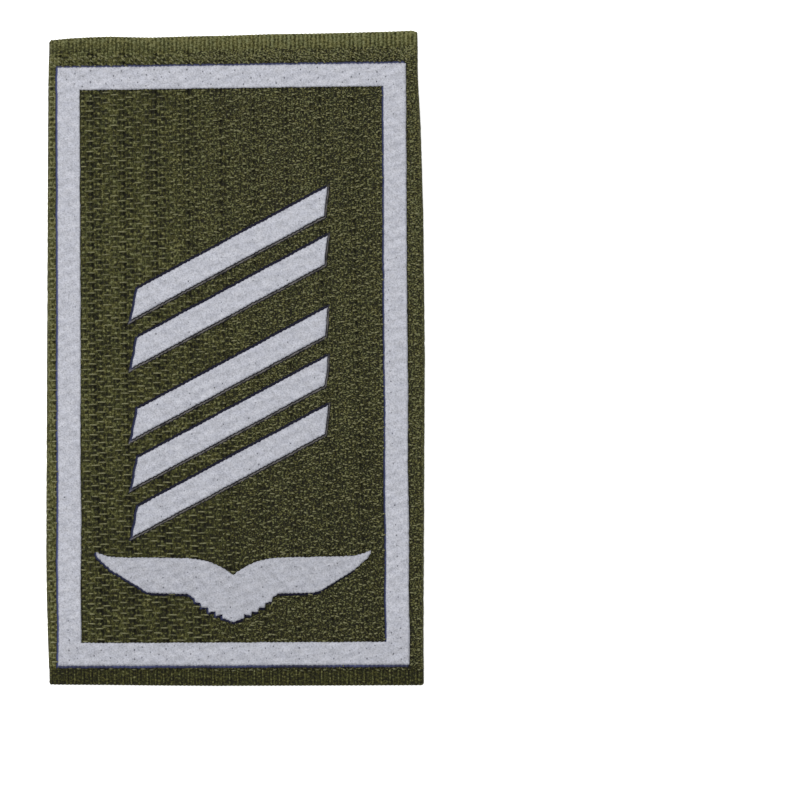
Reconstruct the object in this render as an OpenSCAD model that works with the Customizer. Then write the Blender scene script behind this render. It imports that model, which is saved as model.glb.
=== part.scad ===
// Printed rank patch on woven hook tape.
// It lies face up on its hooks. X runs along the tape, +Y is the top of the print and +Z comes out of the face.
// The origin is at the centre of the underside.

/* [Tape] */
// Length of tape that is cut off, at its longest
patch_w = 58.6; // [58.6:0.1:70]
// Width of the tape over both selvages, at its widest
patch_h = 100.6; // [100.6:0.1:120]
// Thickness of the woven ground cloth
tape_t = 1; // [0.8:0.1:2]
// Width of the plain selvage along each long edge of the tape
selvage_w = 2.3; // [1.5:0.1:2.5]
// How far the selvage lies below the face of the field
selvage_drop = 0.15; // [0.05:0.05:0.3]
// Length that is worn off each corner
corner_cut = 0.2; // [0.2:0.1:1]

/* [Hooks] */
// Height of the hook field under the ground cloth
hook_h = 1.2; // [0.8:0.1:2.5]
// Thickness of the roots that join the rows of hooks
root_t = 0.25; // [0.1:0.05:0.4]
// Distance from one row of hooks to the next
row_pitch = 1.54; // [1.3:0.02:2.4]
// Width of one row of hooks
row_w = 0.95; // [0.5:0.05:1.1]
// Bare strip between the hooks and each edge that was cut
cut_margin = 1.5; // [1.5:0.1:3]
// Bare strip between the hooks and each selvage's outer edge
selvage_margin = 2.4; // [2.4:0.1:6]

/* [Print] */
// Thickness of the light ink
ink_t = 0.2; // [0.1:0.05:0.4]
// Thickness of the dark ink round the bars
keyline_t = 0.1; // [0.05:0.05:0.1]
// Centre of the print, to the left of the tape's centre
print_left = 0.32; // [0:0.02:0.6]
// Centre of the print, below the tape's centre
print_down = 0.98; // [0:0.02:1]
// Outer width of the printed frame
frame_w = 53.9; // [50:0.1:54]
// Outer height of the printed frame
frame_h = 92.2; // [88:0.1:92.2]
// Width of the frame's band
frame_band = 3.5; // [2:0.1:4]

/* [Bars] */
// Angle at which the bars rise to the right
bar_angle = 27.7; // [15:0.1:28.5]
// Height of a bar, measured straight up
bar_h = 4.15; // [3:0.05:5]
// Distance from the middle of a bar to its left end, halfway up
bar_left = 14.7; // [12:0.05:16]
// Distance from the middle of a bar to its right end, halfway up
bar_right = 14.85; // [12:0.05:16]
// How far the left end leans over its height
left_lean = 0.9; // [0:0.05:1.5]
// How far the right end leans over its height
right_lean = 0.5; // [0:0.05:1.5]
// Distance from one bar down to the next in the same group
bar_pitch = 7.5; // [6.5:0.1:7.5]
// Extra gap between the two upper bars and the three lower ones
group_gap = 3.5; // [0:0.1:3.5]
// Middle of the top bar, above the centre of the print
top_bar_y = 17.15; // [16.5:0.05:17.5]
// Middle of the bars, to the left of the print's centre
bars_left = 0.35; // [0:0.05:0.5]
// Width of the dark line round each bar
keyline_w = 0.4; // [0.2:0.05:0.6]

/* [Wings] */
// Distance from the middle to the tip of one wing
wing_span = 21.1; // [18:0.1:22]
// Height of the wings, from their tips to the point of the tail
wing_h = 10.85; // [9:0.05:12]
// Tips of the wings, below the centre of the print
wing_down = 28.65; // [28:0.05:30]
// Height of one step in the feathers beside the tail
feather_step = 0.55; // [0.2:0.05:0.8]
// Number of steps in the feathers on each side of the tail
feathers = 5; // [3:1:8]

/* [Hidden] */

face_z = hook_h + tape_t;

// How the four edges of the tape draw in from its longest and widest, in mm.
// The two that were cut bow outwards. The upper selvage dips towards its left corner.
// Columns: place up the edge from 0 at the bottom to 1 at the top, distance drawn in
left_edge = [[0, 0.5], [0.06, 0.3], [0.18, 0], [0.45, 0.17], [0.75, 0.36], [0.95, 0.5], [1, 0.65]];
right_edge = [[0, 0.55], [0.2, 0.35], [0.5, 0], [0.72, 0.1], [0.85, 0.4], [0.92, 0.75], [1, 1.3]];
// Columns: place along the edge from 0 at the left to 1 at the right, distance drawn in
lower_edge = [[0, 0.28], [0.15, 0.2], [0.3, 0.08], [0.45, 0], [1, 0]];
upper_edge = [
  [0, 0.75], [0.05, 0.5], [0.11, 0.36], [0.17, 0.29], [0.27, 0.54], [0.38, 0.42], [0.5, 0.38],
  [0.6, 0.25], [0.72, 0.26], [0.85, 0.18], [0.95, 0.1], [1, 0]
];

// The tape's section at its edges, from the underside round to the face of the field.
// Columns: inset from the cut edges, inset from the selvages, height above the hooks
edge_section = [
  [0.3, 0.3, 0],
  [0.06, 0.06, 0.2 * tape_t],
  [0, 0, 0.5 * tape_t],
  [0.08, 0.08, 0.75 * tape_t],
  [0.26, 0.4, tape_t - selvage_drop],
  [0.36, selvage_w, tape_t - selvage_drop],
  [0.5, selvage_w + 0.25, tape_t]
];

// Steps along each cut edge and along each selvage
side_steps = 14;
selvage_steps = 18;

// A point on the tape, u across and v up from 0 to 1, inside the insets given
function tape_point(u, v, inset) =
  let (
    left = -patch_w / 2 + lookup(v, left_edge) + inset[0],
    right = patch_w / 2 - lookup(v, right_edge) - inset[0],
    low = -patch_h / 2 + lookup(u, lower_edge) + inset[1],
    high = patch_h / 2 - lookup(u, upper_edge) - inset[1]
  )
  [left + u * (right - left), low + v * (high - low), hook_h + inset[2]];

// Places round the tape, anticlockwise from the lower left corner, each corner cut off
cut_u = corner_cut / patch_w;
cut_v = corner_cut / patch_h;
function spread(low, high, steps) = [for (i = [0 : steps]) low + (high - low) * i / steps];
loop = concat(
  [for (u = spread(cut_u, 1 - cut_u, selvage_steps)) [u, 0]],
  [for (v = spread(cut_v, 1 - cut_v, side_steps)) [1, v]],
  [for (u = spread(1 - cut_u, cut_u, selvage_steps)) [u, 1]],
  [for (v = spread(1 - cut_v, cut_v, side_steps)) [0, v]]
);

module woven_tape() {
  turns = len(loop);
  rings = len(edge_section);
  points = [for (inset = edge_section) for (place = loop) tape_point(place[0], place[1], inset)];
  walls = [
    for (r = [0 : rings - 2]) for (i = [0 : turns - 1])
      let (a = r * turns + i, b = r * turns + (i + 1) % turns)
      each [[a, b + turns, b], [a, a + turns, b + turns]]
  ];
  underside = [for (i = [0 : turns - 1]) i];
  face = [for (i = [turns - 1 : -1 : 0]) (rings - 1) * turns + i];
  color([0.25, 0.25, 0.15]) polyhedron(points, concat([underside], walls, [face]));
}

// Rows of hooks that grow from one layer of roots, with one row on the middle line
hooks_w = patch_w - 2 * cut_margin;
rows_each_side = floor((patch_h / 2 - selvage_margin - row_w / 2) / row_pitch);
hooks_h = 2 * rows_each_side * row_pitch + row_w;

module hook_field() {
  color([0.2, 0.2, 0.12]) {
    translate([-hooks_w / 2, -hooks_h / 2, hook_h - root_t]) cube([hooks_w, hooks_h, root_t]);
    for (row = [-rows_each_side : rows_each_side]) {
      translate([-hooks_w / 2, row * row_pitch - row_w / 2, 0]) cube([hooks_w, row_w, hook_h]);
    }
  }
}

module on_face() {
  translate([-print_left, -print_down, face_z]) children();
}

module printed_frame() {
  color([0.75, 0.75, 0.79]) on_face() linear_extrude(ink_t) difference() {
    square([frame_w, frame_h], center = true);
    square([frame_w - 2 * frame_band, frame_h - 2 * frame_band], center = true);
  }
}

// Outline of a bar about its middle, grown on every side
function bar_outline(grow) =
  let (
    half = bar_h / 2 + grow / cos(bar_angle),
    left = -bar_left - grow,
    right = bar_right + grow,
    level = [
      [left - left_lean / 2, -half],
      [right - right_lean / 2, -half],
      [right + right_lean / 2, half],
      [left + left_lean / 2, half]
    ]
  )
  [for (p = level) [p.x, p.y + p.x * tan(bar_angle)]];

// Bars are numbered from 1 at the top, and the group's gap comes after bar 2
function bar_y(number) = top_bar_y - (number - 1) * bar_pitch - (number > 2 ? group_gap : 0);

module at_bar(number) {
  on_face() translate([-bars_left, bar_y(number), 0]) children();
}

module rank_bar(number) {
  color([0.75, 0.75, 0.79]) at_bar(number) linear_extrude(ink_t) polygon(bar_outline(0));
}

module bar_keyline(number) {
  color([0.1, 0.1, 0.15]) at_bar(number) linear_extrude(keyline_t) difference() {
    polygon(bar_outline(keyline_w));
    polygon(bar_outline(0));
  }
}

// Curve through four control points, from the first to the last
curve_steps = 10;
function curve_at(p, t) =
  pow(1 - t, 3) * p[0] + 3 * t * pow(1 - t, 2) * p[1] + 3 * t * t * (1 - t) * p[2] + pow(t, 3) * p[3];
function curve(p) = [for (i = [0 : curve_steps]) curve_at(p, i / curve_steps)];

// Half of the wings, as shares of their span and height, from the notch over the tip to the tail
shoulder = curve([[0, -0.34], [0.14, -0.118], [0.24, -0.1], [0.43, -0.09]]);
wing_tip = curve([[0.72, -0.083], [0.9, -0.082], [0.94, -0.06], [1, 0]]);
trailing_edge = [[1, -0.045], [0.98, -0.1], [0.885, -0.27], [0.63, -0.57], [0.58, -0.59], [0.33, -0.6]];
feather_line = [[0.33, -0.6], [0.25, -0.75], [0.17, -0.87], [0.075, -0.92]];
feather_points = [
  for (i = [1 : feathers])
    let (p = curve_at(feather_line, i / feathers), step = feather_step / wing_h)
    each [p + [0.006, step / 2], p - [0.006, step / 2]]
];
half_wings = concat(shoulder, wing_tip, trailing_edge, feather_points);
wings_outline = concat(
  [for (p = half_wings) [p.x * wing_span, p.y * wing_h]],
  [[0, -wing_h]],
  [for (i = [len(half_wings) - 1 : -1 : 1]) [-half_wings[i].x * wing_span, half_wings[i].y * wing_h]]
);

module printed_wings() {
  color([0.75, 0.75, 0.79]) on_face() translate([0, -wing_down, 0]) linear_extrude(ink_t) polygon(wings_outline);
}

woven_tape();
hook_field();
printed_frame();
rank_bar(1);  // rank_bar_1
rank_bar(2);  // rank_bar_2
rank_bar(3);  // rank_bar_3
rank_bar(4);  // rank_bar_4
rank_bar(5);  // rank_bar_5
bar_keyline(1);  // bar_keyline_1
bar_keyline(2);  // bar_keyline_2
bar_keyline(3);  // bar_keyline_3
bar_keyline(4);  // bar_keyline_4
bar_keyline(5);  // bar_keyline_5
printed_wings();
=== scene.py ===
import math

import bpy
import numpy as np
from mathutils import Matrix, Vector
from mathutils.geometry import delaunay_2d_cdt


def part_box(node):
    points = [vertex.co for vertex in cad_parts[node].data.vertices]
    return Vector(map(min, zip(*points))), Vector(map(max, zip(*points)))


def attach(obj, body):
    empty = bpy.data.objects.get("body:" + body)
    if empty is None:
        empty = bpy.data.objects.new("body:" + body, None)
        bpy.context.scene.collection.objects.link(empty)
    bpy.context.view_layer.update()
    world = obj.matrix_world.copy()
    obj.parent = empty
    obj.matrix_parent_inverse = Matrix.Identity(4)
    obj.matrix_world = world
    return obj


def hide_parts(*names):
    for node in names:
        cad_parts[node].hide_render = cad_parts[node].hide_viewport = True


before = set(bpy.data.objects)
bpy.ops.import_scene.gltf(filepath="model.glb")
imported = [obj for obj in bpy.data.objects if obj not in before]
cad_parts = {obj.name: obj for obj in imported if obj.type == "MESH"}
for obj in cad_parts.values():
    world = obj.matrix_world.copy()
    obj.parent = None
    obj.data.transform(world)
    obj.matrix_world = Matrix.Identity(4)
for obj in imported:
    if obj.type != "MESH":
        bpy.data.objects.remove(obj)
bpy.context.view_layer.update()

# Lengths are in millimetres, until a mesh is made
MM = 0.001
TURN = 2 * math.pi
# Heights closer than this count as one
SAME = 1e-3
rng = np.random.default_rng(7)

# The weave repeats after eight weft ribs, which run up the patch, and one row of floats
RIB = 0.635
REPEAT = 8
ROW = 1.565
# Four warp ends make a row
END = ROW / 4
# The cloth lies askew: its ribs lean, spread, bow and fan out, and its rows tilt and sag
FIRST_CREST = 0.046
RIB_LEAN = 0.019
RIB_SPREAD = -0.00064
RIB_BOW = -0.00025
RIB_FAN = 0.00008
ROW_TILT = -0.0038
ROW_SAG = 0.00021
# The repeat, rib by rib: how far up the row its float lies, how high that stands over the rib at its left,
# how far up the row the groove at its right has a pit, and how deep. Only every second rib has a float
FLOAT_UP, LEFT_HIGH, PIT_UP, PIT_DEEP = np.array([
    (0, 0, 0.6, 0.35),
    (0.415, -0.1, 0.15, 0.2),
    (0, 0, 0.58, 0.15),
    (0.135, -0.05, 0.83, 0.3),
    (0, 0, 0.35, 0.55),
    (0.65, 0.04, 0.27, 1.1),
    (0, 0, 0.1, 0.7),
    (0.91, 0.01, 0.6, 0.6),
]).T
# How far up the row a bead of the ground weave stands, and how much later on half of the ribs
BEAD_UP = 0.395
LATE = 0.25
RIB_HEIGHT = 0.12
BEAD_HEIGHT = 0.08
# Ribs are fuller than a plain wave, by this power
FULLNESS = 0.7
PIT_FALL = 0.3
PIT_WIDTH = 0.19
PIT_LENGTH = 0.38
PIT_SLANT = 0.45
# The floats draw in towards the right: from this place, over this width, and further left higher up
LOOSE_FROM = -15
LOOSE_OVER = 26
LOOSE_SLANT = 0.1

# The monofilament of the floats and of the hooks
FLOAT_RADIUS = 0.115
NYLON_RADIUS = 0.1
HOOK_TILT = math.radians(7)
HOOK_PITCH = 2 * RIB

# Ink
FILM_STEP = (RIB / 4, ROW / 8)
EDGE_STEP = 0.16
EDGE_WAVE = 0.1
PINHOLE = 0.21


def node_box(name):
    """The low and high corner of a CAD node's box."""
    low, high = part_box(name)
    return np.array(low) / MM, np.array(high) / MM


tape_low, tape_high = node_box("woven_tape")
hooks_low, hooks_high = node_box("hook_field")
BACK_Z = tape_low[2]
TAPE_T = tape_high[2] - BACK_Z


# Outlines of the CAD solids

def node_mesh(name):
    """A CAD node's points, with those at one place joined, and its faces."""
    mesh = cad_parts[name].data
    points = np.array([v.co for v in mesh.vertices]) / MM
    kept, index = np.unique(np.round(points, 4), axis=0, return_inverse=True)
    index = index.ravel()
    return kept, [[index[i] for i in polygon.vertices] for polygon in mesh.polygons]


def top_loops(name):
    """The loops of points round a flat node's upper face, the outer one first."""
    points, faces = node_mesh(name)
    level = points[:, 2].max() - SAME
    tops = [face for face in faces if all(points[i][2] > level for i in face)]
    # A dictionary keeps the sides in order
    sides = dict.fromkeys(side for face in tops for side in zip(face, face[1:] + face[:1]))
    after = {a: b for a, b in sides if (b, a) not in sides}
    loops = []
    while after:
        start, place = after.popitem()
        loop = [start]
        while place != start:
            loop.append(place)
            place = after.pop(place)
        loops.append(points[loop][:, :2])
    return sorted(loops, key=lambda loop: -np.ptp(loop[:, 0]))


# An edge's points lie within this of the tape's box, and further than this from its corners
EDGE_REACH = 2
CORNER = 0.3


def tape_edges():
    """The tape's left and right edge by height, and its lower and upper edge by width."""
    points, _ = node_mesh("woven_tape")
    ring = points[np.abs(points[:, 2] - (BACK_Z + TAPE_T / 2)) < SAME][:, :2]
    low, high = ring.min(0), ring.max(0)
    sides = []
    for axis, limit in ((0, low[0]), (0, high[0]), (1, low[1]), (1, high[1])):
        near = ring[np.abs(ring[:, axis] - limit) < EDGE_REACH]
        near = near[np.argsort(near[:, 1 - axis])]
        other = near[:, 1 - axis]
        kept = (other > low[1 - axis] + CORNER) & (other < high[1 - axis] - CORNER)
        sides.append((other[kept], near[kept][:, axis]))
    return [lambda at, side=side: np.interp(at, *side) for side in sides]


left_edge, right_edge, low_edge, high_edge = tape_edges()


def from_cut(x, y):
    """Distance from the nearer cut edge."""
    return np.minimum(x - left_edge(y), right_edge(y) - x)


def depth_inside(points, loops):
    """How far points lie inside the outline that loops make, below 0 outside it."""
    x, y = points.T
    inside = np.zeros(len(points), bool)
    nearest = np.full(len(points), np.inf)
    for loop in loops:
        for a, b in zip(loop, np.roll(loop, -1, axis=0)):
            rise = (a[1] > y) != (b[1] > y)
            run = b[1] - a[1]
            inside ^= rise & (x < a[0] + (y - a[1]) / (run if run else 1) * (b[0] - a[0]))
            along = b - a
            share = np.clip((points - a) @ along / max(along @ along, 1e-12), 0, 1)
            nearest = np.minimum(nearest, np.linalg.norm(points - a - share[:, None] * along, axis=1))
    return np.where(inside, nearest, -nearest)


# Relief of the weave

def smooth(x):
    x = np.clip(x, 0, 1)
    return x * x * (3 - 2 * x)


def rightwards(x, width):
    """From 0 at the tape's left side to 1 at this width from it."""
    return smooth((x - tape_low[0]) / width)


def drift(x, y, size, seed):
    """Smooth noise from -1 to 1, with features about size across."""
    phases = np.random.default_rng(seed).random((6, 3)) * TURN
    total = 0
    for angle, first, second in phases:
        along = (x * math.cos(angle) + y * math.sin(angle)) * TURN / size
        total = total + np.sin(along + first) * np.sin(along * 0.61 + second)
    return total / 3


# The woven field ends where the selvages begin, halfway between two ends
FIELD_ENDS = 122
FIELD_TOP = (FIELD_ENDS + 0.5) * END
# The rows keep their course up to here, and then bend to follow the selvages
BEND_FROM = 45.4


def row_y(x, up):
    """Height on the patch of a row, up measured along the weave, where it crosses x."""
    top = smooth((up - BEND_FROM) / (FIELD_TOP - BEND_FROM))
    low = smooth((-up - BEND_FROM) / (FIELD_TOP - BEND_FROM))
    sag = -(ROW_TILT * x + ROW_SAG * x * x)
    to_top = high_edge(x) - tape_high[1]
    to_low = low_edge(x) - tape_low[1]
    return up + sag * (1 - top - low) + to_top * top + to_low * low


def ribs_askew(x, y):
    return RIB_LEAN * y + RIB_SPREAD * x * x + RIB_BOW * y * y + RIB_FAN * x * y - FIRST_CREST


def laid(across, up):
    """Where a place in the weave lies on the patch, closer with each round of the loop."""
    x, y = across, up
    for _ in range(6):
        x = across - ribs_askew(x, y)
        y = row_y(x, up)
    return x, y


def in_weave(x, y):
    """Where a place on the patch lies in the weave: across its ribs, with a crest at 0, and up its rows."""
    up = y
    for _ in range(4):
        up = up + y - row_y(x, up)
    return x + ribs_askew(x, y), up


def loosened(x, y):
    """How far the floats have drawn in, from 0 at the left to 1 at the right."""
    return smooth((x + LOOSE_SLANT * y - LOOSE_FROM + 5 * drift(x, y, 30, 3)) / LOOSE_OVER)


# A table of random numbers from 0 to 1 for places in the weave
CHANCES = 200
chance = rng.random((CHANCES, CHANCES))
# What is drawn by rib and row, each from another place in that table
PIT, ASIDE, UPWARD, LENGTH, SUNKEN, ANGLE, THERE, SHADE = range(8)
HOLE_ASIDE, HOLE_UP, HOLE_THERE, HOLE_SIZE, STRAY_UP, STRAY_THERE = range(9, 15)


def pick(rib, row, draw):
    return chance[(rib + 60 + 7 * draw) % CHANCES, (row + 90 + 13 * draw) % CHANCES]


def sway(rib, row, draw):
    """A random number from -1 to 1."""
    return 2 * pick(rib, row, draw) - 1


def spot(column, row):
    """A random number from -0.5 to 0.5."""
    return chance[column % CHANCES, row % CHANCES] - 0.5


def rib_wave(across):
    """0 in the grooves between the ribs, 1 along their crests."""
    return 0.5 + 0.5 * np.cos(TURN * across / RIB)


def bead_turns(across, up):
    """How many beads lie below this height: they lie at the whole numbers."""
    rib = np.round(across / RIB).astype(int) % REPEAT
    late = (rib > 1) & (rib < 6)
    return 2 * (up / ROW - BEAD_UP + LATE * late)


def pits(across, up):
    """0 on the open cloth, 1 at the bottom of the deepest pits in the grooves."""
    groove = np.floor(across / RIB).astype(int)
    height = PIT_UP[groove % REPEAT]
    row = np.round(up / ROW - height).astype(int)
    off_up = up - (row + height) * ROW
    off_across = across - (groove + 0.5) * RIB + PIT_SLANT * off_up
    depth = PIT_DEEP[groove % REPEAT] * (0.6 + 0.6 * pick(groove, row, PIT))
    return depth * np.exp(-(off_across / PIT_WIDTH) ** 2 - (off_up / PIT_LENGTH) ** 2)


def ground_height(across, up):
    """Height of the bare cloth over its back."""
    wave = rib_wave(across)
    bead = np.cos(TURN * bead_turns(across, up))
    relief = RIB_HEIGHT * wave ** FULLNESS + BEAD_HEIGHT * bead * wave - PIT_FALL * pits(across, up)
    return TAPE_T - RIB_HEIGHT - BEAD_HEIGHT + relief + 0.02 * drift(across, up, 7, 5)


# What makes up the yarn's tone. It is darker below the middle and where it is loose, and there its spots and
# the painted shade in its pits are fainter by EVENED
TONE = 0.46
TONE_LOW = 0.08
TONE_LOOSE = 0.24
TONE_SPOT = 0.54
EVENED = 0.45
# The beads' painted highlight on the ribs that have floats, and on the others
BEAD_HIGHLIGHT = (0.75, 0.3)


def ground_tone(across, up, loose):
    """How light the yarn is, from 0 to 1, before its finish, with painted shade in its pits."""
    # Each flank of a rib has its own shade at each end that it passes
    flank = np.round(2 * across / RIB).astype(int)
    end = np.floor(up / END).astype(int)
    kept = 1 - EVENED * loose
    tone = TONE + TONE_SPOT * kept * spot(flank, end) + 0.05 * drift(across, up, 12, 9)
    # The pits are darkened with painted shade
    return tone - TONE_LOW * smooth(-up / 30) - TONE_LOOSE * loose - kept * pits(across, up)


# Painted highlight on the beads, strongest along the ribs' crests
def bead_highlight(across, loose):
    rib = np.round(across / RIB).astype(int)
    return np.where(rib % 2, *BEAD_HIGHLIGHT) * rib_wave(across) * (1 - 0.5 * loose)


# Meshes

def placed(name, data):
    thing = bpy.data.objects.new(name, data)
    bpy.context.scene.collection.objects.link(thing)
    return thing


def add_piece(name, points, faces, material, replaced, marks):
    """A mesh on the part. marks are numbers for each point, which its material reads."""
    mesh = bpy.data.meshes.new(name)
    mesh.from_pydata((points * MM).tolist(), [], faces)
    mesh.polygons.foreach_set("use_smooth", [True] * len(mesh.polygons))
    for label, values in marks.items():
        attribute = mesh.attributes.new(label, "FLOAT", "POINT")
        attribute.data.foreach_set("value", values)
    mesh.materials.append(material)
    mesh.update()
    piece = placed(name, mesh)
    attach(piece, "root")
    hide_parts(*replaced)
    return piece


def over_back(x, y, height):
    """Points from their places and their heights over the tape's back."""
    return np.column_stack(np.broadcast_arrays(x, y, BACK_Z + np.asarray(height)))


def add_cloth(name, rings, marks, node, flipped=False):
    """A piece of olive cloth, from its rings of points and their marks."""
    faces = tube_faces(len(rings), len(rings[0]))
    if flipped:
        faces = [face[::-1] for face in faces]
    marks = {label: np.concatenate(values) for label, values in marks.items()}
    return add_piece(name, np.concatenate(rings), faces, olive, [node], marks)


def grid(*axes):
    """Every combination of places on some axes, as a flat array for each axis."""
    return [places.ravel() for places in np.meshgrid(*axes, indexing="ij")]


def angles_round(sides):
    """The angles of the corners of a regular polygon."""
    return np.arange(sides) / sides * TURN


def tube_faces(rings, sides, first=0):
    """Quads round a tube of rings, and its two caps."""
    ring, side = grid(np.arange(rings - 1), np.arange(sides))
    a = ring * sides + side
    b = ring * sides + (side + 1) % sides
    quads = np.stack([a, b, b + sides, a + sides], axis=1) + first
    start = first + np.arange(sides)
    end = start + (rings - 1) * sides
    return quads.tolist() + [start[::-1].tolist(), end.tolist()]


def add_copies(name, form, places, material, node, shades):
    """Copies of one nylon form, from its faces and each copy's points and shade."""
    count, step = places.shape[:2]
    faces = [[i + k * step for i in face] for k in range(count) for face in form]
    marks = {"shade": np.repeat(shades, step)}
    add_piece(name, places.reshape(-1, 3), faces, material, [node], marks)


# Materials

class Finish:
    """A Principled material whose nodes are added one by one."""

    def __init__(self, name, settings):
        self.material = bpy.data.materials.new(name)
        self.material.use_nodes = True
        self.tree = self.material.node_tree
        self.tree.nodes.clear()
        output = self.tree.nodes.new("ShaderNodeOutputMaterial")
        self.surface = self.add("BsdfPrincipled", settings)
        self.tree.links.new(self.surface.outputs[0], output.inputs[0])

    def add(self, kind, inputs=None, **settings):
        node = self.tree.nodes.new("ShaderNode" + kind)
        for key, value in settings.items():
            setattr(node, key, value)
        for key, value in (inputs or {}).items():
            socket = node.inputs[key]
            if isinstance(value, bpy.types.NodeSocket):
                self.tree.links.new(value, socket)
            else:
                socket.default_value = value
        return node

    def done(self, colour, roughness=None, normal=None):
        """The material, with these sockets linked to its surface."""
        for name, socket in (("Base Color", colour), ("Roughness", roughness), ("Normal", normal)):
            if socket:
                self.tree.links.new(socket, self.surface.inputs[name])
        return self.material

    def mark(self, label):
        return self.add("Attribute", attribute_name=label).outputs["Fac"]

    def noise(self, scale, detail=2, roughness=0.5, finer=(1, 1, 1)):
        """Noise from 0 to 1, finer by so much along each axis."""
        here = self.add("TexCoord").outputs["Object"]
        size = [along / MM for along in finer]
        place = self.add("VectorMath", {0: here, 1: size}, operation="MULTIPLY").outputs[0]
        inputs = {"Vector": place, "Scale": scale, "Detail": detail, "Roughness": roughness}
        return self.add("TexNoise", inputs).outputs[0]

    def math(self, operation, *values):
        return self.add("Math", dict(enumerate(values)), operation=operation).outputs[0]

    def scaled(self, value, factor, added):
        """value times factor, with something added."""
        return self.math("MULTIPLY_ADD", value, factor, added)

    def varied(self, value, noise, amount):
        """value up or down by at most amount, as a noise says."""
        return self.math("ADD", value, self.scaled(noise, 2 * amount, -amount))

    def ramp(self, factor, *stops):
        """Colours or greys by factor, from stops of (position, colour)."""
        node = self.add("ValToRGB", {"Fac": factor})
        ramp = node.color_ramp
        while len(ramp.elements) < len(stops):
            ramp.elements.new(1)
        for element, (position, colour) in zip(ramp.elements, stops):
            element.position = position
            element.color = (*colour, 1)
        return node.outputs[0]

    def blend(self, factor, first, second, how="MIX"):
        node = self.add("Mix", {0: factor, 6: first, 7: second}, data_type="RGBA", blend_type=how)
        return node.outputs[2]

    def tinted(self, colour, tint):
        return self.blend(1.0, colour, tint, "MULTIPLY")

    def bump(self, height, distance, strength=1.0, below=None):
        inputs = {"Height": height, "Distance": distance * MM, "Strength": strength}
        if below:
            inputs["Normal"] = below
        return self.add("Bump", inputs).outputs[0]


def grey(value):
    return (value,) * 3


# The yarn's colours from dark to light, by tone
OLIVE = ((0.0, (0.006, 0.0055, 0.0013)), (0.3, (0.022, 0.022, 0.004)), (0.6, (0.056, 0.056, 0.013)),
         (1.0, (0.155, 0.153, 0.068)))
MELTED = (0.07, 0.068, 0.032, 1)
# The mean of the beads' power below
BEAD_MEAN = 0.34


def yarn_finish():
    """Woven olive yarn, with painted highlights on its beads, filaments and melted ends."""
    yarn = Finish("olive_yarn", {"Specular IOR Level": 0.14})
    filament = yarn.noise(1.0, 2, 0.6, finer=(4.5, 2.2, 3))
    cross = yarn.noise(1.0, 1, finer=(3.5, 7, 3))
    mottle = yarn.noise(0.35, 4, 0.6)
    tone = yarn.varied(yarn.varied(yarn.mark("tone"), filament, 0.65), mottle, 0.1)
    # Where the cloth is loose its grain is stronger
    grain = yarn.scaled(yarn.mark("loose"), 3.2, 1.5)
    tone = yarn.scaled(yarn.math("SUBTRACT", cross, 0.5), grain, tone)
    wave = yarn.math("COSINE", yarn.math("MULTIPLY", yarn.mark("turns"), TURN))
    narrow = yarn.math("POWER", yarn.scaled(wave, 0.5, 0.5), 2.5)
    # The beads' tops are lighter and their sides darker: painted highlight and shade
    tone = yarn.scaled(yarn.math("SUBTRACT", narrow, BEAD_MEAN), yarn.mark("bead"), tone)
    warm = yarn.ramp(yarn.noise(0.9, 3), (0.35, (1.02, 0.99, 0.88)), (0.65, (0.97, 1.02, 1.08)))
    colour = yarn.tinted(yarn.ramp(tone, *OLIVE), warm)
    melt = yarn.mark("melt")
    colour = yarn.blend(yarn.math("MULTIPLY", melt, 0.7), colour, MELTED)
    glossier = yarn.math("MULTIPLY", melt, 0.22)
    roughness = yarn.math("SUBTRACT", yarn.scaled(mottle, 0.2, 0.52), glossier)
    fibres = yarn.math("ADD", filament, yarn.math("MULTIPLY", cross, 0.5))
    return yarn.done(colour, roughness, yarn.bump(fibres, 0.05))


def nylon_finish(name, dark, light):
    """Monofilament: smooth, a little cloudy, each piece its own shade."""
    nylon = Finish(name, {"Specular IOR Level": 0.3, "Coat Weight": 0.05, "Coat Roughness": 0.25})
    cloud = nylon.noise(3.0, 3)
    shade = nylon.varied(nylon.mark("shade"), cloud, 0.55)
    scratches = nylon.noise(1.0, finer=(2, 9, 9))
    colour = nylon.ramp(shade, (0.0, dark), (1.0, light))
    return nylon.done(colour, nylon.scaled(cloud, 0.25, 0.32), nylon.bump(scratches, 0.02))


def light_ink_finish():
    """Matt light ink: grained, mottled, and dark in the pinholes."""
    ink = Finish("light_ink", {"Specular IOR Level": 0.2})
    grain = ink.noise(5.0, 2, 0.6)
    cloud = ink.noise(0.8, 4, 0.6, finer=(0.8, 1.6, 1))
    colour = ink.ramp(cloud, (0.3, (0.378, 0.387, 0.438)), (0.5, (0.402, 0.41, 0.455)),
                      (0.72, (0.427, 0.432, 0.472)))
    # Lighter where the ink is thicker, darker with the painted shade that the mark also carries
    thick_and_shade = ink.ramp(ink.mark("thick_and_shade"), (0.0, grey(0.79)), (1.0, grey(1.2)))
    speck = ink.ramp(grain, (0.25, grey(0.6)), (0.5, grey(1.0)), (0.75, grey(1.22)))
    colour = ink.tinted(ink.tinted(colour, thick_and_shade), speck)
    hole = ink.math("MINIMUM", ink.mark("hole"), 1.0)
    colour = ink.blend(hole, colour, (0.03, 0.03, 0.045, 1))
    colour = ink.blend(ink.mark("rim"), colour, (0.05, 0.05, 0.075, 1))
    uneven = ink.bump(grain, 0.03, 0.7, below=ink.bump(cloud, 0.1, 0.4))
    return ink.done(colour, ink.scaled(grain, 0.2, 0.6), uneven)


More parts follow.
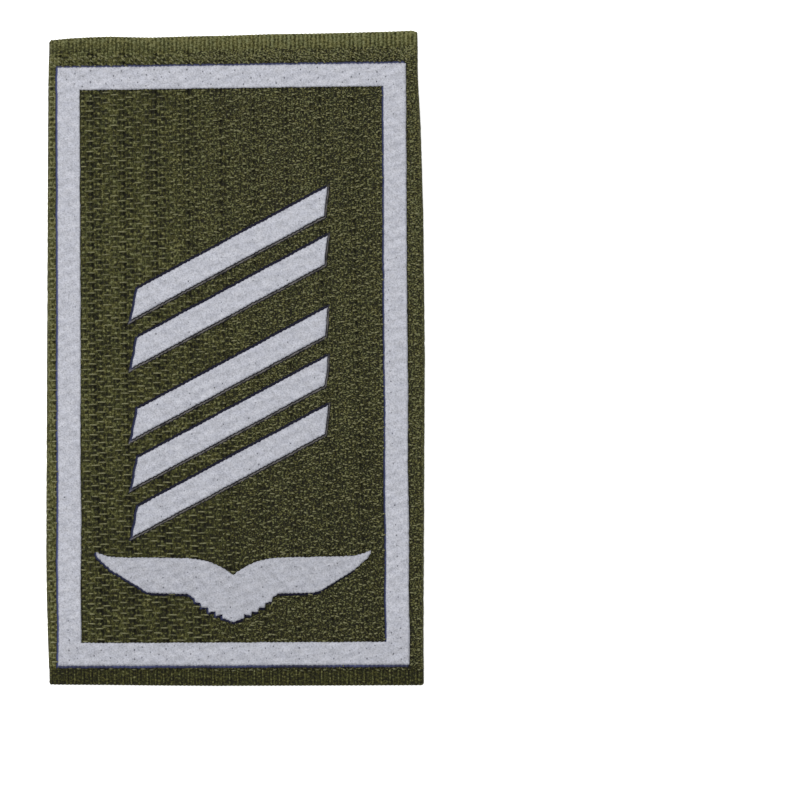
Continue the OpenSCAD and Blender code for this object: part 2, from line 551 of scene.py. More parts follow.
def dark_ink_finish():
    """Thin dark ink over the yarn: navy black, greyer by its tone and bluer by its blue mark."""
    ink = Finish("dark_ink", {"Specular IOR Level": 0.1})
    grain = ink.noise(5.0, 3, 0.6)
    tone = ink.varied(ink.mark("tone"), grain, 0.2)
    colour = ink.ramp(tone, (0.0, (0.005, 0.005, 0.017)), (0.3, (0.012, 0.011, 0.017)),
                      (0.6, (0.035, 0.033, 0.03)), (1.0, (0.12, 0.112, 0.108)))
    colour = ink.blend(ink.mark("blue"), colour, (0.085, 0.103, 0.235, 1))
    return ink.done(colour, ink.scaled(grain, 0.25, 0.55), ink.bump(grain, 0.04))


olive = yarn_finish()
clear_nylon = nylon_finish("float_nylon", (0.05, 0.049, 0.018), (0.155, 0.152, 0.072))
hook_nylon = nylon_finish("hook_nylon", (0.03, 0.03, 0.014), (0.1, 0.098, 0.055))
light_ink = light_ink_finish()
dark_ink = dark_ink_finish()


# Woven ground

# Regular columns of points, and how many more there are up to each cut edge
EDGE_COLUMNS = 14
REGULAR = np.arange(-180, 166) * RIB / 4


def weave_columns(up, inset):
    """The places across the weave of one row's points, which end inset from the cuts."""
    x = np.array([left_edge(up) + inset, right_edge(up) - inset])
    left, right = x + ribs_askew(x, row_y(x, up))
    share = np.arange(EDGE_COLUMNS) / EDGE_COLUMNS
    before = left + (REGULAR[0] - left) * share
    after = right + (REGULAR[-1] - right) * share[::-1]
    return np.r_[before, REGULAR, after]


# The cut edge's section from the face round to the back: inset, height as a share of the thickness
CUT_SECTION = np.array([(0.07, 0.72), (0.0, 0.5), (0.05, 0.25), (0.3, 0.0)])
FACE_INSET = 0.18
# Columns of points on the back, and how far the section and the back are melted
BACK_COLUMNS = 6
CUT_MELT = np.repeat([0.8, 0.0, 0.8], [len(CUT_SECTION), BACK_COLUMNS - 2, len(CUT_SECTION)])
# The face sinks where it is melted
MELT_DROP = 0.1
# The yarn is paler beside the left and right cut, over this width
PALE_LEFT, PALE_RIGHT = 0.22, 0.13
PALE_EDGE = 2.3
# and from this height up, above the frame, by more at the right
PALE_TOP = 45.7
PALE_ABOVE, PALE_MORE = 0.13, 0.12


def rough(y, seed):
    """Small uneven bites along a melted edge."""
    return 0.05 * np.abs(drift(y, 0, 1.9, seed)) + 0.03 * np.abs(drift(y, 0, 0.7, seed + 1))


def make_field():
    rings = []
    marks = {"tone": [], "bead": [], "turns": [], "loose": [], "melt": []}
    for up in (np.arange(-FIELD_ENDS - 1, FIELD_ENDS + 1) + 0.5) * END:
        across = weave_columns(up, FACE_INSET)
        x, y = laid(across, up)
        loose = loosened(x, y)
        melt = 1 - smooth((from_cut(x, y) - FACE_INSET) / 0.35)
        height = ground_height(across, up) - MELT_DROP * melt
        pale = PALE_LEFT * smooth((left_edge(y) + PALE_EDGE - x) / 0.8)
        pale += PALE_RIGHT * smooth((x - right_edge(y) + PALE_EDGE) / 0.8)
        pale += (PALE_ABOVE + PALE_MORE * rightwards(x, 40)) * smooth((up - PALE_TOP) / 0.5)
        bites = (rough(up, 21), rough(up, 31))
        x[0] += bites[0]
        x[-1] -= bites[1]
        face = over_back(x, y, height)
        rims = []
        for edge, sign, bite in ((right_edge, -1, bites[1]), (left_edge, 1, bites[0])):
            rim_x = edge(up) + sign * (CUT_SECTION[:, 0] + bite)
            rims.append(over_back(rim_x, row_y(rim_x, up), CUT_SECTION[:, 1] * TAPE_T))
        back_x = np.linspace(rims[0][-1, 0], rims[1][-1, 0], BACK_COLUMNS)[1:-1]
        back = over_back(back_x, row_y(back_x, up), 0)
        rings.append(np.r_[face, rims[0], back, rims[1][::-1]])
        # Each mark on the face, and on the rims and back
        row = {
            "tone": (ground_tone(across, up, loose) + pale, 0.45),
            "bead": (bead_highlight(across, loose), 0),
            "turns": (bead_turns(across, up), 0),
            "loose": (loose, 0),
            "melt": (0.55 * melt, CUT_MELT),
        }
        for label, (values, rest) in row.items():
            marks[label].append(np.append(values, np.full(len(CUT_MELT), rest)))
    return add_cloth("woven_field", rings, marks, "woven_tape")


# Selvages: the same ribs, finer rows in a plain weave, and a rounded outer edge

SELVAGE_ROW = 0.295
SELVAGE_ROWS = 17
# The selvage lies this much below the field, and sinks by this towards the tape's edge
SELVAGE_DROP = 0.1
SELVAGE_SLOPE = 0.14
# Its grooves' depth, its ribs' and beads' height, and how much deeper every second groove opens
GROOVE = 0.17
SELVAGE_RIB = 0.14
SELVAGE_BEAD = 0.04
OPEN_GROOVE = 0.1
UNDER_FIELD = 0.35
SELVAGE_CORNER = 0.15
RIB_BULGE = 0.06
# The outer edge's section, like CUT_SECTION
SELVAGE_RIM = np.array([(0.16, 0.72), (0.03, 0.55), (0.03, 0.35), (0.16, 0.1), (0.35, 0)])


def make_selvage(name, side, light, contrast, fade, dim, stretch, ribs, fine, spots):
    """One selvage, side 1 at the top of the tape and -1 at the bottom.

    light and contrast set its tone, and fade how much lighter it gets towards the tape's edge: a high light
    and a fade paint light on the upper selvage and a low light paints shade on the lower, as the key light
    falls from the top. Its left end is darker by dim, over a stretch. ribs says how strongly they show at the
    left and at the right, as painted light on their crests and painted shade in their grooves, fine how
    strongly finer ones do, painted the same way, and spots how much single places differ.
    """
    edge = high_edge if side > 0 else low_edge
    level = side * (FIELD_TOP + 1)
    share = np.linspace(0, 1, SELVAGE_ROWS)
    rings, marks = [], {"tone": [], "melt": []}
    for across in weave_columns(level, 0.05):
        x, _ = laid(across, level)
        outer = edge(x)
        inner = row_y(x, side * (FIELD_TOP - UNDER_FIELD))
        wave = rib_wave(across)
        corner = max(0, SELVAGE_CORNER - from_cut(x, outer))
        outer = outer - side * (corner + RIB_BULGE * (1 - wave))
        y = inner + (outer - side * 0.3 - inner) * share
        rib = round(across / RIB)
        turns = (y - tape_high[1] * side) / (2 * SELVAGE_ROW) + 0.5 * (rib % 2)
        order = np.cos(TURN * turns)
        gap = (0.5 - 0.5 * math.cos(math.pi * across / RIB)) * (1 - wave)
        height = TAPE_T - SELVAGE_DROP - SELVAGE_SLOPE * share ** 2 - GROOVE + SELVAGE_RIB * wave ** FULLNESS
        height = height + SELVAGE_BEAD * order * wave - OPEN_GROOVE * gap
        melt = 1 - smooth(from_cut(x, outer) / 0.5)
        face = over_back(x, y, height - MELT_DROP * melt)
        rim = over_back(x, outer - side * SELVAGE_RIM[:, 0], SELVAGE_RIM[:, 1] * TAPE_T)
        under = over_back(x, [row_y(x, side * FIELD_TOP), inner], [0, 0.35])
        ring = np.r_[face, rim, under]
        rings.append(ring)
        # Painted light and shade: light is high for the upper selvage and low for the lower, as the light
        # falls from the top
        here = light - dim * (1 - rightwards(x, stretch))
        # Towards the right the tone varies less from the field to the edge
        right = rightwards(x, 45)
        # Painted light on the ribs' crests and beads and painted shade in their open grooves; the finer ribs
        # are painted the same way
        rib_shading = (ribs[0] + (ribs[1] - ribs[0]) * right) * (0.2 * (wave - 0.5) - 0.25 * gap)
        rib_shading = rib_shading + fine * math.cos(3 * math.pi * across / RIB)
        spotted = spots * spot(rib, np.arange(SELVAGE_ROWS) * 3)
        tone = here + contrast * (rib_shading + 0.17 * order * wave + spotted)
        # Painted highlight towards the tape's edge by fade, where the upper selvage rounds over towards the
        # light
        tone = tone + fade * (share - 0.6) * (1 - 0.5 * right)
        # The rims and back have painted light on the ribs' crests too
        tone = np.append(tone, np.full(len(ring) - len(y), here - 0.05 + 0.2 * wave))
        marks["tone"].append(np.clip(tone, 0, 1))
        marks["melt"].append(np.full(len(ring), 0.6 * melt))
    return add_cloth(name, rings, marks, "woven_tape", flipped=side > 0)


# Outlines of the print, read from the solids

BARS = range(1, 6)
LIGHT_NODES = ["printed_frame", *[f"rank_bar_{i}" for i in BARS], "printed_wings"]
outlines = {name: top_loops(name) for name in LIGHT_NODES + [f"bar_keyline_{i}" for i in BARS]}
# The feathers' steps start this far below the wings' tips, and are cut deeper by this share
TAIL_FROM = 6.7
DEEPER_STEPS = 0.25


def feathered(loop):
    """The wings' outline with deeper notches between the feathers."""
    middle = (np.roll(loop, 1, axis=0) + np.roll(loop, -1, axis=0)) / 2
    y = loop[:, 1]
    tail = (y < y.max() - TAIL_FROM) & (y > y.min() + 0.1)
    return loop + np.where(tail, DEEPER_STEPS, 0)[:, None] * (loop - middle)


outlines["printed_wings"] = [feathered(loop) for loop in outlines["printed_wings"]]
frame_low, frame_high = node_box("printed_frame")
FRAME_BAND = outlines["printed_frame"][1][:, 0].min() - frame_low[0]


def depth_in_print(points):
    depths = [depth_inside(points, outlines[name]) for name in LIGHT_NODES]
    depths += [depth_inside(points, outlines[f"bar_keyline_{i}"][:1]) for i in BARS]
    return np.max(depths, axis=0)


# Floats

FLOAT_SIDES = 5
# A float under the cloth or the ink lies this low, from the height of the ribs' beads
SUNK = -0.34
# Ink covers what lies this near its outline
COVERED = -0.1


def weave_places(ribs, down=0):
    """Rib, row and height of the floats on some ribs of the repeat."""
    repeat, rib, row = grid(np.arange(-7, 7), ribs, np.arange(-33, 33))
    rib = rib + REPEAT * repeat
    return rib, row, (row + FLOAT_UP[rib % REPEAT] - down) * ROW


def float_rings(loose, jitter, left_high, short, room):
    """Places along each float and heights over the cloth, ring by ring.

    It comes up over its left neighbour's rib and over its own, or over its own alone where it is short. room
    limits its half length.
    """
    left = 0.12 - 0.04 * loose
    half = np.minimum((0.38 - 0.13 * loose) * (0.65 + 0.5 * jitter), room)
    high = 0.07 + 0.01 * loose
    left_high = left_high + 0.08 * (jitter - 0.5) - 0.1 * loose
    link = left_high - 0.08 - 0.4 * smooth(loose / 0.4)
    # Each ring's place along the float, and its height
    rings = (
        (-RIB - 2 * left, SUNK),
        (-RIB - left, left_high - 0.05),
        (-RIB, left_high),
        (-RIB + left, link),
        (-half, np.minimum(link + 0.05, high - 0.08)),
        (-0.4 * half, high),
        (0.6 * half, high - 0.02),
        (1.45 * half, SUNK),
    )
    places, heights = (np.stack(np.broadcast_arrays(*values, loose)[:-1], axis=1) for values in zip(*rings))
    # A short one starts with these shares of its half length, and rises over them
    root = np.linspace(1.6, 1.0, 5)
    places[short, :5] = -half[short, None] * root
    heights[short, :5] = SUNK + (high[short, None] - SUNK) * (1.6 - root) / 0.6 * 0.8
    return places, heights


def place_floats(x, y, angle, shade, along, over):
    """Lengths of monofilament about the points x, y."""
    angle = angle[:, None]
    middle = np.stack([x[:, None] + along * np.cos(angle), y[:, None] + along * np.sin(angle)], axis=-1)
    covered = depth_in_print(middle.reshape(-1, 2)).reshape(over.shape) > COVERED
    over = np.where(covered, SUNK, over)
    turns = angles_round(FLOAT_SIDES) + math.pi / 2
    out = FLOAT_RADIUS * np.cos(turns)
    rise = FLOAT_RADIUS * 0.85 * np.sin(turns)
    px = middle[..., :1] - np.sin(angle)[..., None] * out
    py = middle[..., 1:] + np.cos(angle)[..., None] * out
    pz = BACK_Z + TAPE_T + over[..., None] + rise
    places = np.stack([px, py, pz], axis=-1).reshape(len(x), -1, 3)
    form = tube_faces(along.shape[1], FLOAT_SIDES)
    add_copies("monofilament_floats", form, places, clear_nylon, "woven_tape", shade)


# The floats lie askew in three rows above the frame, and one row lies under it
ASKEW_ROWS = (45.65, 46.3, 46.95)
ASKEW_ANGLE = math.radians(-38)
LOW_ROW = -47.8
LOW_SHARE = 0.6
EXTRA_HALF = 0.26
# These rows are numbered from here
EXTRA_ROWS = 60
# How far right of its rib's crest the middle of a float lies
FLOAT_RIGHT = 0.12
# Where the floats have drawn in, short ones come up on this share of the other ribs too
STRAYS = 0.45
# Floats stop this far from the left and right cut
LEFT_BARE, RIGHT_BARE = 0.5, 0.7


def make_floats():
    rib, row, up = weave_places(range(REPEAT))
    stray = rib % 2 == 0
    up = up + ROW * stray * pick(rib, row, STRAY_UP)
    x, y = laid(rib * RIB, up)
    regular = (up < ASKEW_ROWS[0] - 0.6) & (up > LOW_ROW + 0.5)
    regular &= ~stray | (pick(rib, row, STRAY_THERE) < STRAYS * loosened(x, y))
    up, rib, row = up[regular], rib[regular], row[regular]
    heights = np.array([*ASKEW_ROWS, LOW_ROW])
    number, more = grid(np.arange(len(heights)), np.arange(-23, 23) * 2)
    up = np.append(up, heights[number])
    rib = np.append(rib, more + number % 2)
    row = np.append(row, EXTRA_ROWS + number)
    x, y = laid(rib * RIB, up)
    askew = (up > ASKEW_ROWS[0] - 0.6).astype(float)
    extra = row >= EXTRA_ROWS
    loose = np.maximum(loosened(x, y), 0.45 * extra)
    x = x + FLOAT_RIGHT + 0.11 * sway(rib, row, ASIDE) * (1 + 0.5 * loose + 0.7 * extra)
    y = y + 0.08 * sway(rib, row, UPWARD) * (1 + loose + askew)
    angle = np.radians(sway(rib, row, ANGLE) * (3 + 18 * loose)) + ASKEW_ANGLE * askew
    from_left, from_right = x - left_edge(y), right_edge(y) - x
    near = np.minimum(from_left, from_right)
    lowest = y < LOW_ROW + 0.4
    kept = (from_left > LEFT_BARE) & (from_right > RIGHT_BARE)
    kept &= depth_in_print(np.column_stack([x, y])) < COVERED
    kept &= ~lowest | (pick(rib, row, THERE) < LOW_SHARE)
    short = extra | (rib % 2 == 0) | (from_left < RIB + 0.6)
    upper = smooth((y + 5) / 25)
    shade = 0.2 + 0.8 * pick(rib, row, SHADE) - 0.15 * upper + 0.4 * (x < frame_low[0]) + 0.15 * askew
    # Where the floats have drawn in they are lighter: painted glints on the monofilament
    shade += 0.5 * loose * ~extra - 0.35 * lowest
    room = np.where(extra, EXTRA_HALF, (near - 0.1) / 1.6)
    left_high = LEFT_HIGH[rib % REPEAT]
    jitter = pick(rib, row, LENGTH)
    along, over = float_rings(loose[kept], jitter[kept], left_high[kept], short[kept], room[kept])
    # Some lie deeper, and those beside a cut are held down
    deeper = 0.12 * pick(rib, row, SUNKEN) ** 2 + 0.12 * (1 - smooth((near - FACE_INSET) / 0.6))
    over = np.maximum(over - deeper[kept, None], SUNK)
    place_floats(x[kept], y[kept], angle[kept], np.clip(shade[kept], 0, 1), along, over)


# Films of ink

def sampled(loop, step):
    """The loop's corners with points between them, step apart."""
    points = []
    for a, b in zip(loop, np.roll(loop, -1, axis=0)):
        count = max(1, round(np.linalg.norm(b - a) / step))
        points.append(a + (b - a) * (np.arange(count) / count)[:, None])
    return np.concatenate(points)


# Columns: amount, size, seed
EDGE_DRIFTS = ((0.4, 2.6, 40), (0.3, 1.3, 41), (0.25, 0.6, 42))


def edge_wave(x, y):
    """How far ink runs out along the yarns, from -1 to 1, further on the ribs."""
    across, _ = in_weave(x, y)
    drifts = sum(amount * drift(x, y, size, seed) for amount, size, seed in EDGE_DRIFTS)
    return drifts + 0.8 * rib_wave(across) - 0.4


def unit(vectors):
    return vectors / np.linalg.norm(vectors, axis=1)[:, None]


def to_right(vectors):
    """Vectors turned to the right, which is out of an anticlockwise loop."""
    return np.stack([vectors[:, 1], -vectors[:, 0]], axis=1)


def wavy(points, amount):
    """Points of a loop, moved in and out a little as ink runs along the yarns."""
    out = unit(to_right(np.roll(points, -1, axis=0) - np.roll(points, 1, axis=0)))
    return points + out * (amount * edge_wave(*points.T))[:, None]


# The ink bridges from float to float in long ridges that climb one row in each repeat
RIDGE_AT = 0.15
# Finer wrinkles run both ways across it. Columns: angle, length, width, seed
WRINKLES = ((math.radians(27), 1.9, 0.6, 53), (math.radians(-33), 1.7, 0.55, 54))


def film_swell(across, up):
    """Thickness of the ink, from 0 to 1."""
    climb = up / ROW - across / (REPEAT * RIB) - RIDGE_AT
    swell = 0.5 + 0.1 * np.cos(TURN * climb) + 0.05 * np.cos(TURN * (2 * climb + 0.3))
    for angle, length, width, seed in WRINKLES:
        along = across * math.cos(angle) + up * math.sin(angle)
        aside = up * math.cos(angle) - across * math.sin(angle)
        swell = swell + 0.3 * drift(along / length, aside / width, 1, seed)
    return np.clip(swell + 0.1 * drift(across, up, 0.6, 55), 0, 1)


def loop_sides(first, count):
    """The point numbers at the start and end of each side of a loop."""
    start = np.arange(count)
    return first + start, first + (start + 1) % count


def triangulated(points, loops):
    """Triangles between loops, each its first point's number and a count, the outer one first."""
    edges = np.concatenate([np.stack(loop_sides(*loop), axis=1) for loop in loops]).tolist()
    corners = [Vector(p) for p in points]
    found, _, faces, *_ = delaunay_2d_cdt(corners, edges, [], 1, 1e-7, False)
    assert len(found) == len(points)
    faces = np.array(faces)
    # Triangles between points of the border alone may lie outside it
    border = sum(count for _, count in loops)
    doubt = (faces < border).all(axis=1)
    outline = [points[first:first + count] for first, count in loops]
    kept = np.ones(len(faces), bool)
    kept[doubt] = depth_inside(points[faces[doubt]].mean(axis=1), outline) > 0
    return faces[kept]


# How many of the floats show as pinholes, on ribs 1, 3, 5 and 7 of the repeat
HOLES = {
    "top": (0.7, 0.9, 1.0, 0.35),
    "bottom": (0.5, 0.8, 1.0, 0.6),
    "left": (0.05, 0.1, 0.15, 0.05),
    "right": (0.05, 0.1, 0.75, 0.1),
    "bar": (0.03, 0.2, 0.5, 0.03),
    "wings": (0.1, 0.12, 0.85, 0.1),
}
HOLE_DOWN = 0.11
HOLE_SIDES = 6
# A hole's half width and half height, as shares of its size
HOLE_SHAPE = (0.85, 1.15)
HOLE_DEPTH = 0.2


def hole_chances(node, x, y):
    if node != "printed_frame":
        return HOLES["wings" if node == "printed_wings" else "bar"]
    if abs(y) > frame_high[1] - FRAME_BAND:
        return HOLES["top" if y > 0 else "bottom"]
    return HOLES["left" if x < 0 else "right"]


def pinholes(node):
    """Places and sizes of the pinholes in one print."""
    rib, row, up = weave_places(range(1, REPEAT, 2), HOLE_DOWN)
    x, y = laid(rib * RIB, up)
    places = np.column_stack([x + 0.1 * sway(rib, row, HOLE_ASIDE), y + 0.1 * sway(rib, row, HOLE_UP)])
    there = depth_inside(places, outlines[node]) > 2.2 * PINHOLE
    places, rib, row = places[there], rib[there], row[there]
    share = np.array([hole_chances(node, *place)[i] for place, i in zip(places, rib % REPEAT // 2)])
    kept = pick(rib, row, HOLE_THERE) < share
    size = PINHOLE * (0.5 + 0.45 * pick(rib, row, HOLE_SIZE)) * (0.7 + 0.4 * share)
    return places[kept], size[kept]


# The height in the cloth at which the ink's edges end
FOOT = TAPE_T - 0.25
# The film's least height over the cloth, and how much higher it is on ribs and swells
FILM_LOW, FILM_RIB, FILM_SWELL = 0.01, 0.02, 0.17
# How much thicker it looks where it swells
THICK_SWELL = 0.73
# From here down the ink is darker by this much: painted shade, as the light falls off towards the bottom
LOW_INK = -38
LOW_SHADE = 0.14
# How dark the ink is along its edge, where it thins out by this height
RIM = 0.25
RIM_DROP = 0.04


def make_film(node, thin=0):
    """Light ink over one CAD node, with pinholes over some floats. Ink that is thin is darker."""
    borders = [wavy(sampled(loop, EDGE_STEP), EDGE_WAVE) for loop in outlines[node]]
    spans = zip(borders[0].min(0), borders[0].max(0), FILM_STEP)
    axes = [np.arange(math.floor(low / step), math.ceil(high / step)) * step for low, high, step in spans]
    inner = np.stack(grid(*axes), axis=1)
    inner = inner[depth_inside(inner, outlines[node]) > EDGE_STEP]
    places, sizes = pinholes(node)
    for place, size in zip(places, sizes):
        inner = inner[np.hypot(*(inner - place).T) > size + 0.06]
    turns = angles_round(HOLE_SIDES)
    round_hole = np.stack([np.cos(turns), np.sin(turns)], axis=1) * HOLE_SHAPE
    rims = (places[:, None] + sizes[:, None, None] * round_hole).reshape(-1, 2)
    border = np.concatenate(borders)
    flat = np.r_[border, places, rims, inner]
    across, up = in_weave(*flat.T)
    swell = film_swell(across, up)
    height = TAPE_T + FILM_LOW + FILM_RIB * rib_wave(across) + FILM_SWELL * swell
    height[:len(border)] -= RIM_DROP
    holes = slice(len(border), len(border) + len(places))
    height[holes] -= HOLE_DEPTH
    points = np.r_[over_back(*flat.T, height), over_back(*border.T, FOOT)]
    counts = [len(loop) for loop in borders]
    loops = list(zip(np.cumsum([0] + counts).tolist(), counts))
    faces = triangulated(flat, loops).tolist()
    under = len(flat)
    for a, b in (loop_sides(*loop) for loop in loops):
        faces += np.stack([a, a + under, b + under, b], axis=1).tolist()
    faces += (triangulated(border, loops)[:, ::-1] + under).tolist()
    hole, rim = np.zeros((2, len(points)))
    hole[holes] = 1
    rim[:len(border)] = RIM
    rim[under:] = 1
    thick_and_shade = np.append(0.5 + THICK_SWELL * (swell - 0.5), np.full(len(border), 0.5)) - thin
    # Painted shade: the ink darker towards the bottom
    thick_and_shade -= LOW_SHADE * smooth((LOW_INK - points[:, 1]) / 8)
    marks = {"hole": hole, "rim": rim, "thick_and_shade": thick_and_shade}
    add_piece(f"{node}_ink", points, faces, light_ink, [node], marks)


# Dark lines

def offset_loop(loop, distance, closed=True):
    """A loop's points moved out, square to its edges, with its corners kept sharp."""
    before = loop - np.roll(loop, 1, axis=0)
    after = np.roll(loop, -1, axis=0) - loop
    if not closed:
        before[0] = after[0]
        after[-1] = before[-1]
    out = to_right(unit(before) + unit(after))
    # A corner's point moves further than the edges do
    return loop + unit(out) * (distance * 2 / np.linalg.norm(out, axis=1))[:, None]


# How far the dark ink runs under the light ink
UNDER_LIGHT = 0.14
# It stands this high over the cloth but bridges its pits, and ends this much lower at its outer side
LINE_HEIGHT = 0.03
BRIDGE = 0.08
LINE_DROP = 0.05


def dark_line(name, edge, reach, section, nodes, blue, closed=True):
    """A thin ink line along the right-hand side of edge. reach is how far it shows, point by point.

    section has the tone marks across it outwards, and blue is how blue it is beside the light ink.
    """
    wave = edge_wave(*edge.T)
    reach = np.maximum(reach, 0.02)
    rings, tones = [], []
    for share, tone in zip([-1, *np.linspace(0, 1, len(section))], [section[0], *section]):
        distance = np.full(len(edge), -UNDER_LIGHT)
        if share >= 0:
            distance = share * reach + EDGE_WAVE * wave
        loop = offset_loop(edge, distance, closed)
        across, up = in_weave(*loop.T)
        height = np.maximum(ground_height(across, up) + LINE_HEIGHT, TAPE_T - BRIDGE)
        if share == 1:
            height = height - LINE_DROP
        rings.append(over_back(*loop.T, height))
        tones.append(tone + 0 * reach)
    for loop in (rings[-1], rings[0]):
        rings.append(over_back(*loop[:, :2].T, FOOT))
        tones.append(np.full(len(edge), 0.1))
    count, sides = len(edge), len(rings)
    faces = tube_faces(count, sides)
    if closed:
        side, after = loop_sides(0, sides)
        last = (count - 1) * sides
        faces = faces[:-2] + np.stack([last + side, last + after, after, side], axis=1).tolist()
    points = np.stack(rings, axis=1).reshape(-1, 3)
    fade = np.r_[1, np.linspace(1, 0, len(section)), 0, 1]
    marks = {"tone": np.stack(tones, axis=1).ravel(), "blue": ((blue + 0 * reach)[:, None] * fade).ravel()}
    add_piece(name, points, faces, dark_ink, nodes, marks)


def edge_of(node, number=0, turn=1):
    """One loop of a node's outline, anticlockwise, or clockwise if turn is -1."""
    loop = outlines[node][number]
    x, y = loop.T
    area = (x * np.roll(y, -1) - np.roll(x, -1) * y).sum()
    return sampled(loop[::turn if area > 0 else -turn], EDGE_STEP)


def facing(edge, direction):
    """1 where the outside of a loop faces the direction, -1 where it faces away."""
    step = 0.01
    return (offset_loop(edge, step) - edge) @ direction / step


# The light ink lies a little up and right of the dark
SHIFT = np.array([-0.75, -0.66])
LEFT = np.array([-1.0, 0.0])
# How far a keyline shows, how much further under its bar, and how much less at its right
KEYLINE, WIDER, NARROWER = 0.42, 0.06, 0.12
# The tone of the grey line across a keyline, over the darkest tone
GREY_LINE = (0.15, 0.2, 0.76, 1.05, 0.5, 0.0)
DARKEST = 0.04


def make_keyline(number):
    """The dark line round one bar, with a grey line in it under and right of the bar."""
    edge = edge_of(f"rank_bar_{number}")
    lower = smooth(facing(edge, np.array([0.3, -1.0])) / 0.4)
    right = smooth(facing(edge, -LEFT) * 2 - 1)
    reach = KEYLINE + WIDER * lower - NARROWER * right
    strength = np.maximum(lower, 0.6 * right) * (0.95 + 0.45 * drift(*edge.T, 0.8, 61))
    section = [DARKEST + strength * extra for extra in GREY_LINE]
    blue = 0.3 * smooth(2 * facing(edge, LEFT) - 1)
    dark_line(f"bar_keyline_{number}_ink", edge, reach, section, [f"bar_keyline_{number}"], blue)


def open_side(loop, kept):
    """The stretch of a loop's points where kept is true, in order."""
    start = int(np.argmax(kept & ~np.roll(kept, 1)))
    loop, kept = np.roll(loop, -start, axis=0), np.roll(kept, -start)
    return loop[kept]


# The line outside the frame, at its top, bottom and left: how far it shows, then its tone marks
FRAME_LINE = np.array([
    [0.35, 0.85, 0.5, 0.2, 0.35],
    [0.42, 0.8, 0.4, 0.2, 0.4],
    [0.37, 0.03, 0.06, 0.15, 0.33],
])
# The line inside its right band
INNER_REACH = 0.31
INNER_TONES = (0.03, 0.06, 0.16)


def make_edge_lines():
    """The fine dark lines outside all but the frame's right, inside its right band, and beside the wings."""
    outer = edge_of("printed_frame")
    outer = open_side(outer, outer[:, 0] < outer[:, 0].max() - 0.1)
    x, y = outer.T
    top = y > frame_high[1] - 0.05
    bottom = y < frame_low[1] + 0.05
    left = ~(top | bottom)
    reach, *section = FRAME_LINE.T @ np.stack([top, bottom, left])
    reach = reach + 0.07 * top * edge_wave(x * 0.6, y)
    blue = 0.6 * top + left + bottom * (0.6 + 0.3 * drift(x, 0, 6, 62))
    dark_line("frame_edge_line", outer, reach, section, [], blue, closed=False)
    inner = edge_of("printed_frame", 1, -1)
    inner = open_side(inner, inner[:, 0] > inner[:, 0].max() - 0.05)
    dark_line("frame_inner_line", inner, np.full(len(inner), INNER_REACH), INNER_TONES, [], 0.6, closed=False)
    wings = edge_of("printed_wings")
    reach = 0.38 * smooth((facing(wings, SHIFT) + 0.1) / 0.5)
    blue = 0.4 * smooth(facing(wings, LEFT))
    dark_line("wing_edge_line", wings, reach, (0.02, 0.04, 0.1), [], blue)


# Hooks

HOOK_SIDES = 5
HOOK_BEND = 0.3
# Where the hook and its stub grow from the tape
ROOT_Z = hooks_high[2] - 0.1


def hook_form():
    """The points and faces of one hook with its stub, at the origin."""
    # The hook's middle line in Y and Z: down from its root, round the bottom and up to its cut tip
    middle = NYLON_RADIUS + HOOK_BEND
    angles = np.radians([180, 216, 252, 288, 324, 362])
    curve = [(HOOK_BEND * math.cos(a), middle + HOOK_BEND * math.sin(a)) for a in angles]
    path = np.array([(-0.33, ROOT_Z), (-0.32, 0.72), *curve, (0.26, 0.52)])
    normal = -to_right(unit(np.gradient(path, axis=0)))
    turns = angles_round(HOOK_SIDES)
    radius = np.full(len(path), NYLON_RADIUS)
    radius[-1] = NYLON_RADIUS * 0.8
    out = radius[:, None, None] * np.stack([np.cos(turns), np.sin(turns)], axis=1)
    hook_y = path[:, None, 0] + normal[:, None, 0] * out[..., 0]
    hook_z = path[:, None, 1] + normal[:, None, 1] * out[..., 0]
    hook = np.stack([out[..., 1], hook_y, hook_z], axis=-1).reshape(-1, 3)
    stub = np.array([
        [NYLON_RADIUS * math.cos(t), y + NYLON_RADIUS * math.sin(t), z]
        for y, z in [(0.33, ROOT_Z), (0.3, 0.8)] for t in turns
    ])
    stub_faces = [face[::-1] for face in tube_faces(2, HOOK_SIDES, len(hook))]
    return np.r_[hook, stub], tube_faces(len(path), HOOK_SIDES) + stub_faces


def make_hooks(name, rows):
    """Rows of hooks, which open alternately up and down the patch."""
    form, form_faces = hook_form()
    count = int((hooks_high[0] - hooks_low[0] - 0.3) / HOOK_PITCH)
    number, row = (values[:, None] for values in grid(np.arange(count), rows))
    x = (number - (count - 1) / 2) * HOOK_PITCH + 0.12 * (row % 2 * 2 - 1) + rng.normal(0, 0.03, row.shape)
    y = row * ROW + rng.normal(0, 0.02, row.shape)
    turn = np.where((number + row) % 2, 0, math.pi) + rng.normal(0, HOOK_TILT, row.shape)
    lean = rng.normal(0, HOOK_TILT * 0.7, row.shape)
    low = 0.05 * rng.random(row.shape)
    form_x, form_y, form_z = form.T
    form_x = form_x + np.sin(lean) * (form_z - hooks_high[2])
    px = x + form_x * np.cos(turn) - form_y * np.sin(turn)
    py = y + form_x * np.sin(turn) + form_y * np.cos(turn)
    pz = low + form_z * (1 - low / hooks_high[2])
    places = np.stack([px, py, pz], axis=-1)
    add_copies(name, form_faces, places, hook_nylon, "hook_field", 0.2 + 0.6 * rng.random(len(row)))


# How far the hooks' bed hangs below the tape's back, between the rows of hooks and along them
BED_HIGH, BED_LOW = 0.1, 0.24
BED_TOP = 0.05


def bed_axis(low, high, step):
    """The whole steps between low and high, and low and high themselves."""
    steps = np.arange(math.ceil(low / step), math.floor(high / step) + 1) * step
    return np.r_[low, steps, high]


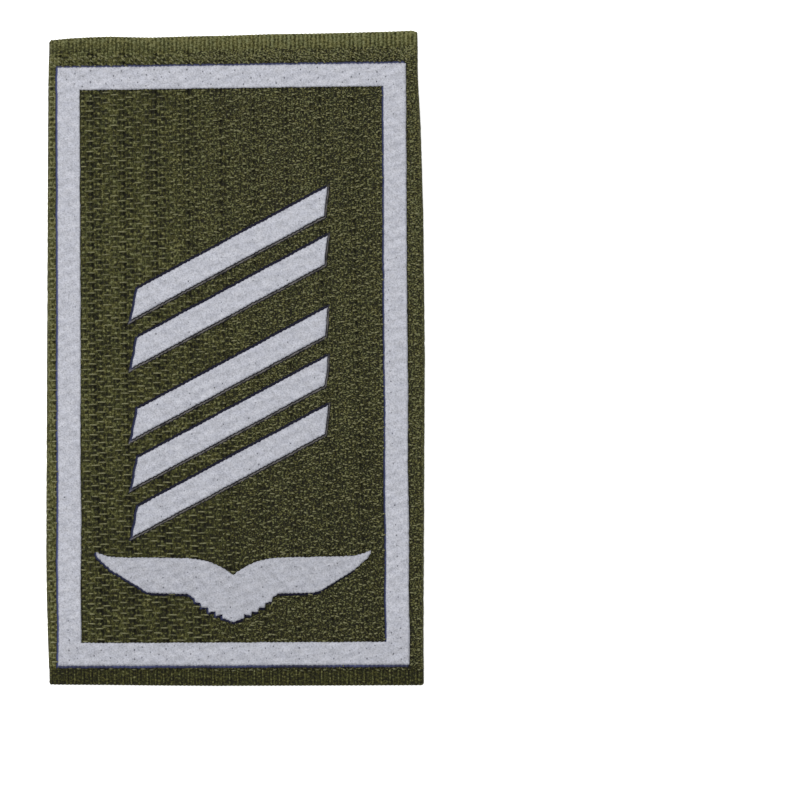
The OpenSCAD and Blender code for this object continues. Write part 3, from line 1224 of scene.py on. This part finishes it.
def make_hook_bed():
    """The woven floor that the hooks grow from, ridged along each row of hooks."""
    low, high = hooks_low, hooks_high
    xs = bed_axis(low[0], high[0], RIB)
    ys = bed_axis(low[1], high[1], END)
    rings, marks = [], {"tone": [], "melt": []}
    for y in ys:
        ridge = 0.5 + 0.5 * math.cos(TURN * y / ROW)
        uneven = 0.02 * drift(xs, y, 2.1, 71)
        edge = np.minimum(1, np.minimum(xs - low[0], high[0] - xs) / 0.3)
        depth = (BED_HIGH + (BED_LOW - BED_HIGH) * ridge + uneven) * (0.6 + 0.4 * edge)
        rings.append(np.r_[over_back(xs, y, -depth), over_back([high[0], low[0]], y, BED_TOP)])
        tone = 0.25 + 0.2 * ridge + 0.15 * spot(np.arange(len(xs)), round(y / END))
        marks["tone"].append(np.append(tone, [0.3, 0.3]))
        marks["melt"].append(np.zeros(len(rings[-1])))
    add_cloth("hook_bed", rings, marks, "hook_field", flipped=True)


# Making everything

field = make_field()
# The upper selvage's high light and its fade are painted light, the lower's low light is painted shade
selvages = [
    make_selvage("upper_selvage", 1, light=0.78, contrast=0.9, fade=0.35, dim=0.17, stretch=32, ribs=(1, 1.8),
                 fine=0, spots=0.32),
    make_selvage("lower_selvage", -1, light=0.28, contrast=1.1, fade=0, dim=0.1, stretch=13, ribs=(0.7, 0.7),
                 fine=0.2, spots=0.42),
]
make_floats()
make_film("printed_frame")
for number in BARS:
    # Each bar down the patch is printed a little thinner
    make_film(f"rank_bar_{number}", 0.03 * (number - 1))
    make_keyline(number)
make_film("printed_wings", 0.29)
make_edge_lines()
half = int((hooks_high[1] - hooks_low[1]) / ROW / 2)
make_hooks("hooks_upper", np.arange(0, half + 1))
make_hooks("hooks_lower", np.arange(-half, 0))
make_hook_bed()


# Floor, light and camera, in metres

mesh = bpy.data.meshes.new("floor")
mesh.from_pydata([(-3, -3, 0), (3, -3, 0), (3, 3, 0), (-3, 3, 0)], [], [(0, 1, 2, 3)])
glow = {"Emission Color": (1, 1, 1, 1), "Emission Strength": 0.6}
pale = Finish("pale_floor", {"Roughness": 0.9, "Specular IOR Level": 0.1, **glow})
cloud = pale.noise(0.002)
mesh.materials.append(pale.done(pale.ramp(cloud, (0.0, grey(0.93)), (1.0, grey(0.97)))))
floor = placed("floor", mesh)

world = bpy.data.worlds.new("studio")
world.use_nodes = True
background = world.node_tree.nodes["Background"]
background.inputs[0].default_value = (1, 1, 1, 1)
background.inputs[1].default_value = 0.75

lamp = bpy.data.lights.new("key", "AREA")
lamp.size = 0.9
lamp.energy = 8.5
light = placed("key", lamp)
light.location = (-0.45, 0.5, 0.75)
# It faces the patch
light.rotation_euler = light.location.to_track_quat("Z", "Y").to_euler()

lens = bpy.data.cameras.new("camera")
lens.sensor_width = 36
lens.lens = 131.6
lens.clip_start = 0.01
camera = placed("camera", lens)
camera.location = (0.04674, -0.0224, 0.4490)
camera.rotation_euler = [math.radians(a) for a in (1.998, 2.744, -0.359)]

scene = bpy.context.scene
scene.world = world
scene.camera = camera
scene.view_settings.view_transform = "Standard"
